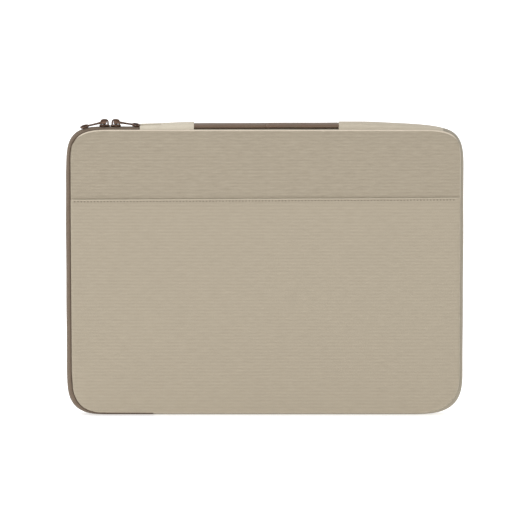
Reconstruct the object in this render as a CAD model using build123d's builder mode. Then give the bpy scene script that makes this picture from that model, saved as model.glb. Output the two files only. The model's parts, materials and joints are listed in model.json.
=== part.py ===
from build123d import *
from math import cos, radians, sin
import os

os.makedirs("parts", exist_ok=True)

# A padded laptop sleeve standing on its bottom gusset: X is the width, Z the height,
# and the front, with its slip pocket, faces -Y. Millimetres throughout.

# Outer band: the closed loop made by the gussets and the zip tapes
WIDTH = 375.0
BAND_TOP = 274.0
CORNER = 28.5
GUSSET_THICK = 1.6
GUSSET_FRONT = -11.5
GUSSET_BACK = 12.0
CORNER_X = WIDTH / 2 - CORNER
CORNER_Z = BAND_TOP - CORNER

# Faces of the two padded walls, from the front of the sleeve to the back
FRONT_FACE = -14.0
BACK_FACE = 14.0
STITCH_THICK = 0.3
POCKET_THICK = 0.8
POCKET_GAP = 0.3
CLOTH_THICK = 0.8
FOAM_THICK = 3.2
LINING_THICK = 0.6
BACK_CLOTH_THICK = 1.0
POCKET_FACE = FRONT_FACE + STITCH_THICK
CLOTH_FACE = POCKET_FACE + POCKET_THICK + POCKET_GAP
FOAM_FACE = CLOTH_FACE + CLOTH_THICK
LINING_FACE = FOAM_FACE + FOAM_THICK
BACK_CLOTH_FACE = BACK_FACE - BACK_CLOTH_THICK
BACK_FOAM_FACE = BACK_CLOTH_FACE - FOAM_THICK
BACK_LINING_FACE = BACK_FOAM_FACE - LINING_THICK

# Outline of the walls inside the outer band
PANEL_SIDE_INSET = 4.5
PANEL_BOTTOM = 3.5
PANEL_TOP = 272.0
PANEL_CORNER = 24.0
PAD_INSET = 1.0

# Rolled edge between each wall and the band
ROLL_INSET = 1.0
ROLL_CLEARANCE = 0.1
ROLL_THICK = 1.8
FRONT_ROLL_FACE = -13.4
BACK_ROLL_FACE = 12.1

# The front wall folds open like a door along this upright line
FOLD_X = -117.5
FOLD_GAP = 0.3
FLAP_EDGE = FOLD_X - FOLD_GAP / 2
FIXED_EDGE = FOLD_X + FOLD_GAP / 2

# Slip pocket on the front wall
POCKET_TOP = 207.5
STITCH_LENGTH = 2.2
STITCH_PITCH = 3.6
STITCH_HEIGHT = 0.5
STITCH_DROP = 2.6
STITCH_END = 6.0

# Zip
TAPE_THICK = 1.2
TAPE_RECESS = 0.4
TAPE_GAP = 0.4
COIL_RADIUS = 0.8
COIL_OFFSET = 1.25
ZIP_TOP_END = -117.4
ZIP_BOTTOM_END = -105.4
TAB_WIDTH = 10.2
TAB_TOP_LENGTH = 18.6
TAB_THICK = 1.4
TAB_CLEARANCE = 0.1

# Zip sliders and their pulls
SLIDER_LENGTH = 9.8
SLIDER_WIDTH = 7.6
SLIDER_NOSE = 4.4
SLIDER_THICK = 1.8
SLIDER_LIFT = 0.4
SLIDER_LEFT_X = -150.6
SLIDER_RIGHT_X = -140.0
SLIDER_BASE = BAND_TOP + SLIDER_LIFT
SLIDER_TOP = SLIDER_BASE + SLIDER_THICK
BRIDGE_LENGTH = 8.4
BRIDGE_HEIGHT = 5.3
BRIDGE_WALL = 1.2
BRIDGE_WIDTH = 2.4
BRIDGE_SILL = 0.6
PIN_Z = SLIDER_TOP + 2.4
PIN_RADIUS = 0.75
PULL_THICK = 1.4
PULL_REACH = 19.2
PULL_BAR_WIDTH = 2.4
EYE_INNER = 3.1
EYE_OUTER = 5.5
EYE_LENGTH = 6.4
RING_OUTER = 4.3
RING_INNER = 2.7
PULL_LEFT_DROOP = 13.2
PULL_RIGHT_DROOP = 8.5

# Carrying handle and the gusset covers over its ends
HANDLE_LEFT = -66.4
HANDLE_RIGHT = 69.2
HANDLE_WIDTH = 20.0
HANDLE_BASE = 275.0
HANDLE_THICK = 2.7
HANDLE_RUN = 28.0
HANDLE_GAP = 0.1
HANDLE_LINING_BASE = 274.3
HANDLE_END_LENGTH = 17.0
HANDLE_END_THICK = 1.5
HANDLE_END_BASE = 274.1
COVER_FRONT = -11.3
COVER_BACK = 11.8
COVER_BASE = 274.05
COVER_LEFT_START = -116.7
COVER_LEFT_LOW = 276.6
COVER_LEFT_HIGH = 278.2
COVER_RIGHT_HIGH = 279.0
COVER_RIGHT_END = 158.0
COVER_TIP = 0.5
COVER_ROUND = 1.6
COVER_GAP = 0.5


def face_plane(y):
    """Upright plane at depth y, drawn in X and Z and facing the front."""
    return Plane(origin=(0, y, 0), x_dir=(1, 0, 0), z_dir=(0, -1, 0))


def band_outline(inset, mode=Mode.ADD):
    """Rounded outline of the outer band, drawn in by the inset."""
    with Locations((0, BAND_TOP / 2)):
        RectangleRounded(
            WIDTH - 2 * inset, BAND_TOP - 2 * inset, CORNER - inset, mode=mode
        )


def panel_outline(inset, mode=Mode.ADD):
    """Rounded outline of a wall, drawn in by the inset."""
    height = PANEL_TOP - PANEL_BOTTOM
    with Locations((0, (PANEL_TOP + PANEL_BOTTOM) / 2)):
        RectangleRounded(
            WIDTH - 2 * PANEL_SIDE_INSET - 2 * inset,
            height - 2 * inset,
            PANEL_CORNER - inset,
            mode=mode,
        )


def keep_left_of(x, low=-BAND_TOP, high=2 * BAND_TOP):
    """Keep only the part of the sketch to the left of x."""
    with Locations((x, (low + high) / 2)):
        Rectangle(WIDTH, high - low, align=(Align.MAX, Align.CENTER), mode=Mode.INTERSECT)


def keep_right_of(x):
    """Keep only the part of the sketch to the right of x."""
    with Locations((x, BAND_TOP / 2)):
        Rectangle(WIDTH, 2 * BAND_TOP, align=(Align.MIN, Align.CENTER), mode=Mode.INTERSECT)


def keep_below(z):
    """Keep only the part of the sketch below z."""
    with Locations((0, z)):
        Rectangle(2 * WIDTH, BAND_TOP, align=(Align.CENTER, Align.MAX), mode=Mode.INTERSECT)


def remove_block(x_low, x_high, z_low, z_high):
    """Cut a rectangle out of the sketch."""
    with Locations(((x_low + x_high) / 2, (z_low + z_high) / 2)):
        Rectangle(x_high - x_low, z_high - z_low, mode=Mode.SUBTRACT)


def wall_layer(name, front, thick, inset=0.0, side=None, top=None):
    """One flat layer of a padded wall: whole, the flap's part or the fixed part."""
    with BuildPart() as layer:
        with BuildSketch(face_plane(front + thick)):
            panel_outline(inset)
            if side == "flap":
                keep_left_of(FLAP_EDGE)
            if side == "fixed":
                keep_right_of(FIXED_EDGE)
            if top is not None:
                keep_below(top)
        extrude(amount=thick)
    layer.part.label = name
    return layer.part


def rolled_edge(name, front, side=None):
    """Rolled cloth edge that joins a wall to the outer band."""
    with BuildPart() as roll:
        with BuildSketch(face_plane(front + ROLL_THICK)):
            band_outline(ROLL_INSET)
            panel_outline(-ROLL_CLEARANCE, mode=Mode.SUBTRACT)
            if side == "flap":
                keep_left_of(FLAP_EDGE)
            if side == "fixed":
                keep_right_of(FIXED_EDGE)
        extrude(amount=ROLL_THICK)
    roll.part.label = name
    return roll.part


def pocket_stitches(name, x_low, x_high):
    """Row of topstitches just under the pocket's folded edge."""
    count = int((x_high - x_low) / STITCH_PITCH)
    middle = (x_low + x_high) / 2
    with BuildPart() as stitches:
        with BuildSketch(face_plane(POCKET_FACE)):
            with Locations((middle, POCKET_TOP - STITCH_DROP)):
                with GridLocations(STITCH_PITCH, 1, count, 1):
                    SlotOverall(STITCH_LENGTH, STITCH_HEIGHT)
        extrude(amount=STITCH_THICK)
    stitches.part.label = name
    return stitches.part


def gusset_top():
    """Gusset strip along the top, notched for the zip's end tab."""
    length = CORNER_X - ZIP_TOP_END
    notch = COVER_LEFT_START + TAB_TOP_LENGTH + TAB_CLEARANCE - ZIP_TOP_END
    with BuildPart() as gusset:
        with BuildSketch(Plane.XY.offset(BAND_TOP - GUSSET_THICK)):
            with Locations((ZIP_TOP_END + length / 2, (GUSSET_FRONT + GUSSET_BACK) / 2)):
                Rectangle(length, GUSSET_BACK - GUSSET_FRONT)
            with Locations((ZIP_TOP_END + notch / 2, 0)):
                Rectangle(notch, TAB_WIDTH + 2 * TAB_CLEARANCE, mode=Mode.SUBTRACT)
        extrude(amount=GUSSET_THICK)
    gusset.part.label = "gusset_top"
    return gusset.part


def gusset_bottom():
    """Gusset strip along the bottom, the flat base that the sleeve stands on."""
    length = CORNER_X - ZIP_BOTTOM_END
    with BuildPart() as gusset:
        with BuildSketch(Plane.XY):
            with Locations((ZIP_BOTTOM_END + length / 2, (GUSSET_FRONT + GUSSET_BACK) / 2)):
                Rectangle(length, GUSSET_BACK - GUSSET_FRONT)
        extrude(amount=GUSSET_THICK)
    gusset.part.label = "gusset_bottom"
    return gusset.part


def gusset_side():
    """Gusset strip up the closed side, with both of its corners."""
    with BuildPart() as gusset:
        with BuildSketch(face_plane(GUSSET_BACK)):
            band_outline(0)
            band_outline(GUSSET_THICK, mode=Mode.SUBTRACT)
            keep_right_of(CORNER_X)
        extrude(amount=GUSSET_BACK - GUSSET_FRONT)
    gusset.part.label = "gusset_right"
    return gusset.part


def gusset_lining():
    """Thin lining strip inside the top, closed side and bottom gussets."""
    with BuildPart() as lining:
        with BuildSketch(face_plane(BACK_LINING_FACE)):
            band_outline(GUSSET_THICK)
            band_outline(GUSSET_THICK + LINING_THICK, mode=Mode.SUBTRACT)
            keep_right_of(ZIP_BOTTOM_END)
        extrude(amount=BACK_LINING_FACE - LINING_FACE - LINING_THICK)
    lining.part.label = "gusset_lining"
    return lining.part


def zip_tape(name, front, back, top_end, bottom_end):
    """One half of the zip tape, from the top run round the side to the bottom run."""
    with BuildPart() as tape:
        with BuildSketch(face_plane(back)):
            band_outline(0)
            band_outline(TAPE_THICK, mode=Mode.SUBTRACT)
            remove_block(top_end, WIDTH, BAND_TOP / 2, 2 * BAND_TOP)
            remove_block(bottom_end, WIDTH, -BAND_TOP, BAND_TOP / 2)
            remove_block(-CORNER_X, WIDTH, -TAPE_THICK, TAPE_RECESS)
        extrude(amount=back - front)
    tape.part.label = name
    return tape.part


def zip_coil(name, y, top_end, bottom_end):
    """Closed cord of the zip coil, under the tape's inner edge."""
    depth = TAPE_THICK + COIL_RADIUS
    left = depth - WIDTH / 2
    top = BAND_TOP - depth
    bend = CORNER - depth
    with BuildPart() as coil:
        with BuildLine(face_plane(y)) as path:
            FilletPolyline(
                (top_end, top), (left, top), (left, depth), (bottom_end, depth), radius=bend
            )
        with BuildSketch(Plane(origin=path.line @ 0, z_dir=path.line % 0)):
            Circle(COIL_RADIUS)
        sweep()
    coil.part.label = name
    return coil.part


def zip_tab_top():
    """Cloth tab that ends the zip on the top run, the floor of the pull's channel."""
    with BuildPart() as tab:
        with BuildSketch(Plane.XY.offset(BAND_TOP - GUSSET_THICK)):
            with Locations((COVER_LEFT_START + TAB_TOP_LENGTH / 2, 0)):
                Rectangle(TAB_TOP_LENGTH, TAB_WIDTH)
        extrude(amount=TAB_THICK)
    tab.part.label = "zip_tab_top"
    return tab.part


def zip_tab_bottom():
    """Cloth tab that ends the front half of the zip on the bottom run."""
    length = ZIP_BOTTOM_END - FIXED_EDGE
    depth = -TAPE_GAP / 2 - GUSSET_FRONT
    with BuildPart() as tab:
        with BuildSketch(Plane.XY.offset(TAPE_RECESS)):
            with Locations((FIXED_EDGE + length / 2, GUSSET_FRONT + depth / 2)):
                Rectangle(length, depth)
        extrude(amount=TAPE_THICK - TAPE_RECESS)
    tab.part.label = "zip_tab_bottom"
    return tab.part


def slider_body(name, x, nose):
    """Slider plate on the tape; its narrow nose points along nose (+1 or -1)."""
    half = SLIDER_LENGTH / 2
    with BuildPart() as body:
        with BuildSketch(Plane.XY.offset(SLIDER_BASE)):
            with BuildLine():
                Polyline(
                    (x - nose * half, -SLIDER_WIDTH / 2),
                    (x + nose * half / 3, -SLIDER_WIDTH / 2),
                    (x + nose * half, -SLIDER_NOSE / 2),
                    (x + nose * half, SLIDER_NOSE / 2),
                    (x + nose * half / 3, SLIDER_WIDTH / 2),
                    (x - nose * half, SLIDER_WIDTH / 2),
                    close=True,
                )
            make_face()
        extrude(amount=SLIDER_THICK)
        fillet(body.edges().filter_by(Axis.Z), SLIDER_THICK / 2)
        fillet(body.faces().sort_by(Axis.Z)[-1].edges(), SLIDER_THICK / 4)
    body.part.label = name
    return body.part


def slider_bridge(name, x):
    """Arch on the slider that the pull hangs in."""
    half = BRIDGE_LENGTH / 2
    with BuildPart() as bridge:
        with BuildSketch(face_plane(BRIDGE_WIDTH / 2)):
            with Locations((x, SLIDER_TOP)):
                Rectangle(BRIDGE_LENGTH, BRIDGE_HEIGHT, align=(Align.CENTER, Align.MIN))
        extrude(amount=BRIDGE_WIDTH)
        corners = bridge.edges().filter_by(Axis.Y).group_by(Axis.Z)[-1]
        fillet(corners, half * 0.75)
        with BuildSketch(face_plane(BRIDGE_WIDTH / 2)):
            with Locations((x, SLIDER_TOP + BRIDGE_SILL)):
                SlotOverall(
                    BRIDGE_LENGTH - 2 * BRIDGE_WALL,
                    BRIDGE_HEIGHT - BRIDGE_WALL - BRIDGE_SILL,
                    align=(Align.CENTER, Align.MIN),
                )
        extrude(amount=BRIDGE_WIDTH, mode=Mode.SUBTRACT)
    bridge.part.label = name
    return bridge.part


def zip_pull(name, x, side, droop):
    """Pull: eye round the bridge, thin bar and ring, lying towards side (+1 or -1)."""
    reach = Vector(side * cos(radians(droop)), 0, -sin(radians(droop)))
    across = Vector(0, side, 0)
    upright = reach.cross(across)
    flat = Plane(origin=(x, 0, PIN_Z), x_dir=reach, z_dir=upright)
    bar_end = PULL_REACH - RING_INNER
    with BuildPart() as pull:
        with BuildSketch(flat.offset(-PULL_THICK / 2)):
            with Locations((EYE_LENGTH / 2, 0)):
                Rectangle(EYE_LENGTH, EYE_OUTER)
            with Locations(((EYE_LENGTH + bar_end) / 2, 0)):
                Rectangle(bar_end - EYE_LENGTH, PULL_BAR_WIDTH)
            with Locations((PULL_REACH, 0)):
                Circle(RING_OUTER)
                Circle(RING_INNER, mode=Mode.SUBTRACT)
            with Locations((EYE_LENGTH / 2 - PULL_BAR_WIDTH / 4, 0)):
                Rectangle(EYE_LENGTH - PULL_BAR_WIDTH / 2, EYE_INNER, mode=Mode.SUBTRACT)
        extrude(amount=PULL_THICK)
        with Locations(Location((x, 0, PIN_Z), (90, 0, 0))):
            Cylinder(PIN_RADIUS, EYE_OUTER)
    pull.part.label = name
    return pull.part


def handle_piece(name, x_low, x_high, base, thick, round_ends=False):
    """Flat length of the handle strap with softened long edges."""
    with BuildPart() as strap:
        with BuildSketch(Plane.XY.offset(base)):
            with Locations(((x_low + x_high) / 2, 0)):
                Rectangle(x_high - x_low, HANDLE_WIDTH)
        extrude(amount=thick)
        fillet(strap.edges().filter_by(Axis.X), thick / 3)
        if round_ends:
            fillet(strap.edges().filter_by(Axis.Z), thick)
    strap.part.label = name
    return strap.part


def gusset_cover_left():
    """Padded gusset cover between the zip's top end and the handle."""
    right = HANDLE_LEFT - COVER_GAP
    step = right - HANDLE_END_LENGTH
    channel = TAB_WIDTH + 2 * HANDLE_GAP
    channel_end = COVER_LEFT_START + TAB_TOP_LENGTH
    with BuildPart() as cover:
        with BuildSketch(face_plane(COVER_BACK)):
            with BuildLine():
                Polyline(
                    (COVER_LEFT_START, COVER_LEFT_LOW),
                    (COVER_LEFT_START, COVER_BASE),
                    (step, COVER_BASE),
                    (step, HANDLE_END_BASE + HANDLE_END_THICK + HANDLE_GAP),
                    (right, HANDLE_END_BASE + HANDLE_END_THICK + HANDLE_GAP),
                    (right, COVER_LEFT_HIGH),
                )
                ThreePointArc(
                    (right, COVER_LEFT_HIGH),
                    (step, COVER_LEFT_HIGH - HANDLE_GAP),
                    (COVER_LEFT_START, COVER_LEFT_LOW),
                )
            make_face()
        extrude(amount=COVER_BACK - COVER_FRONT)
        rims = cover.faces().sort_by(Axis.Z)[-1].edges().filter_by(GeomType.CIRCLE)
        fillet(rims, COVER_ROUND)
        with Locations(((COVER_LEFT_START + channel_end) / 2, 0, COVER_BASE)):
            Box(
                TAB_TOP_LENGTH,
                channel,
                COVER_LEFT_HIGH,
                align=(Align.CENTER, Align.CENTER, Align.MIN),
                mode=Mode.SUBTRACT,
            )
    cover.part.label = "gusset_cover_left"
    return cover.part


def gusset_cover_right():
    """Padded gusset cover from the handle down to the closed side's corner."""
    left = HANDLE_RIGHT + COVER_GAP
    step = left + HANDLE_END_LENGTH
    with BuildPart() as cover:
        with BuildSketch(face_plane(COVER_BACK)):
            with BuildLine():
                Polyline(
                    (COVER_RIGHT_END, COVER_BASE + COVER_TIP),
                    (COVER_RIGHT_END, COVER_BASE),
                    (step, COVER_BASE),
                    (step, HANDLE_END_BASE + HANDLE_END_THICK + HANDLE_GAP),
                    (left, HANDLE_END_BASE + HANDLE_END_THICK + HANDLE_GAP),
                    (left, COVER_RIGHT_HIGH),
                )
                TangentArc(
                    (left, COVER_RIGHT_HIGH),
                    (COVER_RIGHT_END, COVER_BASE + COVER_TIP),
                    tangent=(1, 0),
                )
            make_face()
        extrude(amount=COVER_BACK - COVER_FRONT)
    cover.part.label = "gusset_cover_right"
    return cover.part


def wall_parts():
    """Layers of the back wall, the fixed front wall and the flap."""
    lining_inset = 2 * PAD_INSET
    stitch_left = PANEL_SIDE_INSET + STITCH_END - WIDTH / 2
    stitch_right = WIDTH / 2 - PANEL_SIDE_INSET - STITCH_END
    parts = [
        wall_layer("back_panel", BACK_CLOTH_FACE, BACK_CLOTH_THICK),
        wall_layer("back_foam", BACK_FOAM_FACE, FOAM_THICK, PAD_INSET),
        wall_layer("back_lining", BACK_LINING_FACE, LINING_THICK, lining_inset),
        rolled_edge("back_rolled_edge", BACK_ROLL_FACE),
        pocket_stitches("pocket_stitches", FIXED_EDGE, stitch_right),
        pocket_stitches("pocket_stitches_flap", stitch_left, FLAP_EDGE),
    ]
    for suffix, side in (("", "fixed"), ("_flap", "flap")):
        parts.append(wall_layer("front_panel" + suffix, CLOTH_FACE, CLOTH_THICK, side=side))
        parts.append(
            wall_layer("front_foam" + suffix, FOAM_FACE, FOAM_THICK, PAD_INSET, side)
        )
        parts.append(
            wall_layer("front_lining" + suffix, LINING_FACE, LINING_THICK, lining_inset, side)
        )
        parts.append(
            wall_layer(
                "pocket_panel" + suffix, POCKET_FACE, POCKET_THICK, side=side, top=POCKET_TOP
            )
        )
        parts.append(rolled_edge("front_rolled_edge" + suffix, FRONT_ROLL_FACE, side))
    return parts


def band_parts():
    """Gussets, zip tapes, coils and tabs that make the outer band."""
    tape_inner = TAPE_GAP / 2
    return [
        gusset_top(),
        gusset_bottom(),
        gusset_side(),
        gusset_lining(),
        gusset_cover_left(),
        gusset_cover_right(),
        zip_tape("zip_tape_front", GUSSET_FRONT, -tape_inner, FLAP_EDGE, FLAP_EDGE),
        zip_tape("zip_tape_back", tape_inner, GUSSET_BACK, ZIP_TOP_END, ZIP_BOTTOM_END),
        zip_coil("zip_coil_front", -COIL_OFFSET, FLAP_EDGE, FLAP_EDGE),
        zip_coil("zip_coil_back", COIL_OFFSET, ZIP_TOP_END, ZIP_BOTTOM_END),
        zip_tab_top(),
        zip_tab_bottom(),
    ]


def slider_parts():
    """Both zip sliders, nose to nose, with their bridges and pulls."""
    return [
        slider_body("slider_left_body", SLIDER_LEFT_X, 1),
        slider_bridge("slider_left_bridge", SLIDER_LEFT_X),
        zip_pull("pull_left", SLIDER_LEFT_X, -1, PULL_LEFT_DROOP),
        slider_body("slider_right_body", SLIDER_RIGHT_X, -1),
        slider_bridge("slider_right_bridge", SLIDER_RIGHT_X),
        zip_pull("pull_right", SLIDER_RIGHT_X, 1, PULL_RIGHT_DROOP),
    ]


def handle_parts():
    """Carrying strap: grip, flexing runs, lining and the ends under the covers."""
    run_left = HANDLE_LEFT + HANDLE_RUN
    run_right = HANDLE_RIGHT - HANDLE_RUN
    end_left = HANDLE_LEFT - COVER_GAP
    end_right = HANDLE_RIGHT + COVER_GAP
    lining_thick = HANDLE_BASE - HANDLE_LINING_BASE
    return [
        handle_piece("handle_grip", run_left, run_right, HANDLE_BASE, HANDLE_THICK),
        handle_piece("handle_run_left", HANDLE_LEFT, run_left, HANDLE_BASE, HANDLE_THICK),
        handle_piece("handle_run_right", run_right, HANDLE_RIGHT, HANDLE_BASE, HANDLE_THICK),
        handle_piece("handle_lining", run_left, run_right, HANDLE_LINING_BASE, lining_thick),
        handle_piece(
            "handle_end_left",
            end_left - HANDLE_END_LENGTH + COVER_GAP,
            end_left,
            HANDLE_END_BASE,
            HANDLE_END_THICK,
        ),
        handle_piece(
            "handle_end_right",
            end_right,
            end_right + HANDLE_END_LENGTH - COVER_GAP,
            HANDLE_END_BASE,
            HANDLE_END_THICK,
        ),
    ]


for piece in wall_parts() + band_parts() + slider_parts() + handle_parts():
    export_step(piece, f"parts/{piece.label}.step")
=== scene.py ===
import bpy
import json
import math
import numpy as np
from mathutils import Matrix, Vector


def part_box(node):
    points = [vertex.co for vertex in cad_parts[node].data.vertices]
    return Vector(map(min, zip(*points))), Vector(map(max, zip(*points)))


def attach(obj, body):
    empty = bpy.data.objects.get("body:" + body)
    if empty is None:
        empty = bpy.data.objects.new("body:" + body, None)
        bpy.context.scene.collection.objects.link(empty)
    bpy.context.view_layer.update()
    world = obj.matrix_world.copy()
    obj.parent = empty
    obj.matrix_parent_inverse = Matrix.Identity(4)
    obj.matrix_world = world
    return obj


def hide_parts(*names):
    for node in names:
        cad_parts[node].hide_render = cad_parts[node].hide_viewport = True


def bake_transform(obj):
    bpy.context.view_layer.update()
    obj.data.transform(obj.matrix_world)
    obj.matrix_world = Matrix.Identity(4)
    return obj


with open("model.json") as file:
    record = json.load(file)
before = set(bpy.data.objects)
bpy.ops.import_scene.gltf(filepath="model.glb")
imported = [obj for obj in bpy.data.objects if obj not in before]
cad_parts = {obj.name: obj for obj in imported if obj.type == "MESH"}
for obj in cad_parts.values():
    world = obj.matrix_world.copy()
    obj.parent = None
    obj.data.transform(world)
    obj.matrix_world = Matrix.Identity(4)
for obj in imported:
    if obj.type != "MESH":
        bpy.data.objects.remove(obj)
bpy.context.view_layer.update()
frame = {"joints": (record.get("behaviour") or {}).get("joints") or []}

MM = 0.001
rng = np.random.default_rng(7)


def mm_box(node):
    """A CAD node's lowest and highest corner in millimetres."""
    low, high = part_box(node)
    return np.array(low) / MM, np.array(high) / MM


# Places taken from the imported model, in millimetres
PANEL_LOW, PANEL_HIGH = mm_box("back_panel")
BAND_LOW, BAND_HIGH = mm_box("gusset_right")
_, POCKET_HIGH = mm_box("pocket_panel")
_, TAPE_HIGH = mm_box("zip_tape_back")
FRONT_LOW, _ = mm_box("front_panel")
LINING_LOW, LINING_HIGH = mm_box("front_lining")
BACK_LINING_LOW, BACK_LINING_HIGH = mm_box("back_lining")
COVER_L_LOW, COVER_L_HIGH = mm_box("gusset_cover_left")
COVER_R_LOW, _ = mm_box("gusset_cover_right")
GRIP_LOW, GRIP_HIGH = mm_box("handle_grip")
RUN_L_LOW, _ = mm_box("handle_run_left")
_, RUN_R_HIGH = mm_box("handle_run_right")
END_L_LOW, _ = mm_box("handle_end_left")
_, END_R_HIGH = mm_box("handle_end_right")


def joint_place(name):
    """Where a joint's axis passes, in metres."""
    return next(j for j in frame["joints"] if j["name"] == name)["pos_m"]


HALF = BAND_HIGH[0]
TOP = BAND_HIGH[2]
FRONT_Y = BAND_LOW[1]
BACK_Y = BAND_HIGH[1]
MID_Y = (FRONT_Y + BACK_Y) / 2
HEM_Z = POCKET_HIGH[2]
FLOOR_GAP = 0.02


# ---------------- outlines

CORNER_STEPS = 90


def corner(extent_x, extent_z, power):
    """Quarter of a superellipse, from its top (0, z) round to its side (x, 0)."""
    turn = np.linspace(0, math.pi / 2, CORNER_STEPS)
    x = extent_x * np.sin(turn) ** (2 / power)
    z = extent_z * np.cos(turn) ** (2 / power)
    return x, z


def outline(half, low, high, top_left, top_right, bottom_right, bottom_left):
    """Closed loop of points, clockwise seen from the front, from the top's middle."""
    xs, zs = [0.0], [high]
    for (ax, az, power), sx, sz in (
        (top_right, 1, 1), (bottom_right, 1, -1), (bottom_left, -1, -1), (top_left, -1, 1)
    ):
        cx, cz = corner(ax, az, power)
        if sx * sz < 0:
            cx, cz = cx[::-1], cz[::-1]
        xs += list(sx * (half - ax + cx))
        zs += list((high - az + cz) if sz > 0 else (low + az - cz))
    return np.column_stack([xs, zs])


def resample(points, step):
    """Even points round a closed line, at about the step given."""
    points = np.vstack([points, points[:1]])
    seg = np.hypot(*np.diff(points, axis=0).T)
    keep = np.concatenate([[True], seg > 1e-6])
    points = points[keep]
    run = np.concatenate([[0], np.cumsum(np.hypot(*np.diff(points, axis=0).T))])
    count = max(4, int(round(run[-1] / step)))
    at = np.linspace(0, run[-1], count + 1)[:-1]
    out = np.column_stack([np.interp(at, run, points[:, k]) for k in (0, 1)])
    return out, at


def normals_of(points, closed=True):
    """Outward normals of a clockwise line."""
    if closed:
        ahead, behind = np.roll(points, -1, 0), np.roll(points, 1, 0)
        t = ahead - behind
    else:
        t = np.gradient(points, axis=0)
    t /= np.hypot(*t.T)[:, None]
    return np.column_stack([-t[:, 1], t[:, 0]])


# Each corner's width, height and superellipse power, for the band and for the walls
CORNER_TL = (45.0, 45.0, 3.9)
CORNER_TR = (45.0, 45.0, 3.9)
CORNER_BR = (52.0, 45.0, 3.3)
CORNER_BL = (42.0, 42.0, 3.4)
WALL_TL = (36.0, 28.0, 2.85)
WALL_TR = (40.0, 30.0, 3.6)
WALL_BR = (49.0, 42.0, 3.0)
WALL_BL = (38.0, 38.0, 3.0)
WALL_HALF = PANEL_HIGH[0] - 0.4
WALL_LOW = PANEL_LOW[2] - 0.6
WALL_TOP = PANEL_HIGH[2] + 0.2
LEAN = 0.85
LEAN_FROM_X = -150.0
LEAN_LOW_Z = 62.0
LEAN_HIGH_Z = 212.0
LEAN_EASE = 35.0
RIGHT_FULL = 1.4


def smooth(t):
    """Eased step from 0 to 1."""
    t = np.clip(t, 0, 1)
    return t * t * (3 - 2 * t)


def lean(points, at_top):
    """Draw the left side in a little towards its corners."""
    x, z = points.T
    pull = smooth((LEAN_LOW_Z - z) / LEAN_EASE) + at_top * smooth((z - LEAN_HIGH_Z) / LEAN_EASE)
    return np.column_stack([x + LEAN * pull * smooth((LEAN_FROM_X - x) / 30.0), z])


BAND = lean(outline(HALF, 0.0, TOP, CORNER_TL, CORNER_TR, CORNER_BR, CORNER_BL), 1.0)
BAND_PTS, _ = resample(BAND, 2.4)

WALL_LOOP = lean(outline(WALL_HALF, WALL_LOW, WALL_TOP, WALL_TL, WALL_TR, WALL_BR, WALL_BL), 0.0)
WALL_LOOP[:, 0] += RIGHT_FULL * smooth(WALL_LOOP[:, 0] / 100.0)
LOOP_DENSE, _ = resample(WALL_LOOP, 1.5)


def edge_distance(x, z):
    """Distance in millimetres from each point to the wall's outline."""
    flat = np.column_stack([x.ravel(), z.ravel()])
    best = np.full(len(flat), 1e9)
    for start in range(0, len(LOOP_DENSE), 64):
        part = LOOP_DENSE[start:start + 64]
        d = np.hypot(flat[:, None, 0] - part[None, :, 0], flat[:, None, 1] - part[None, :, 1])
        best = np.minimum(best, d.min(axis=1))
    return best.reshape(x.shape)


def stretch(points, top_x, bottom_x, through):
    """Part of the band between two ends on the top and bottom runs.

    through "left" takes the zipped side, "right" the closed side."""
    x, z = points.T
    above = z > TOP / 2
    if through == "right":
        side, first_x, last_x, first_run = 1, top_x, bottom_x, above
    else:
        side, first_x, last_x, first_run = -1, bottom_x, top_x, ~above
    inside = side * (x - np.where(above, top_x, bottom_x)) >= 0
    start = np.argmin(np.where(first_run, np.abs(x - first_x), 1e9))
    order = np.roll(np.arange(len(points)), -start)
    pts = points[order[inside[order]]]
    pts = np.vstack([[(first_x, pts[0, 1])], pts, [(last_x, pts[-1, 1])]])
    gap = np.hypot(*np.diff(pts, axis=0).T)
    pts = pts[np.concatenate([[True], gap > 0.2])]
    run = np.concatenate([[0], np.cumsum(np.hypot(*np.diff(pts, axis=0).T))])
    return pts, run


# ---------------- meshes

def new_object(name, data):
    """Object in the scene, from its mesh, lamp or camera data."""
    obj = bpy.data.objects.new(name, data)
    bpy.context.scene.collection.objects.link(obj)
    return obj


def build(name, verts, faces, cloth, material, body=None, replaces=(), slot=None):
    """Mesh object in metres from millimetre points, with cloth coordinates to texture by."""
    mesh = bpy.data.meshes.new(name)
    verts = np.asarray(verts, float)
    mesh.from_pydata((verts * MM).tolist(), [], [list(map(int, f)) for f in faces])
    mesh.validate()
    attribute = mesh.attributes.new("cloth", "FLOAT_VECTOR", "POINT")
    attribute.data.foreach_set("vector", (np.asarray(cloth, float) * MM).astype(np.float32).ravel())
    mesh.polygons.foreach_set("use_smooth", [True] * len(mesh.polygons))
    mesh.materials.append(material)
    mesh.update()
    obj = new_object(name, mesh)
    if body:
        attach(obj, body)
    if replaces:
        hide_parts(*replaces)
    return obj


def loft(rings, closed_path=False):
    """Faces between closed rings of equal length, capped at both ends or joined end to end."""
    n, m = len(rings), len(rings[0])
    verts = np.concatenate(rings)
    faces = []
    last = n if closed_path else n - 1
    for i in range(last):
        a, b = i * m, ((i + 1) % n) * m
        for j in range(m):
            k = (j + 1) % m
            faces.append((a + j, a + k, b + k, b + j))
    if not closed_path:
        faces.append(tuple(range(m))[::-1])
        faces.append(tuple(range((n - 1) * m, n * m)))
    return verts, faces


def turns(count):
    """Even angles round a circle."""
    return np.linspace(0, 2 * math.pi, count, endpoint=False)


def signed_power(value, power):
    """Power that keeps the sign, to square off a round section."""
    return np.sign(value) * np.abs(value) ** power


def cloth_ring(along, across):
    """Cloth coordinates of a ring of points: one place along, many across."""
    return np.column_stack([np.full(len(across), along), across, np.zeros(len(across))])


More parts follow.
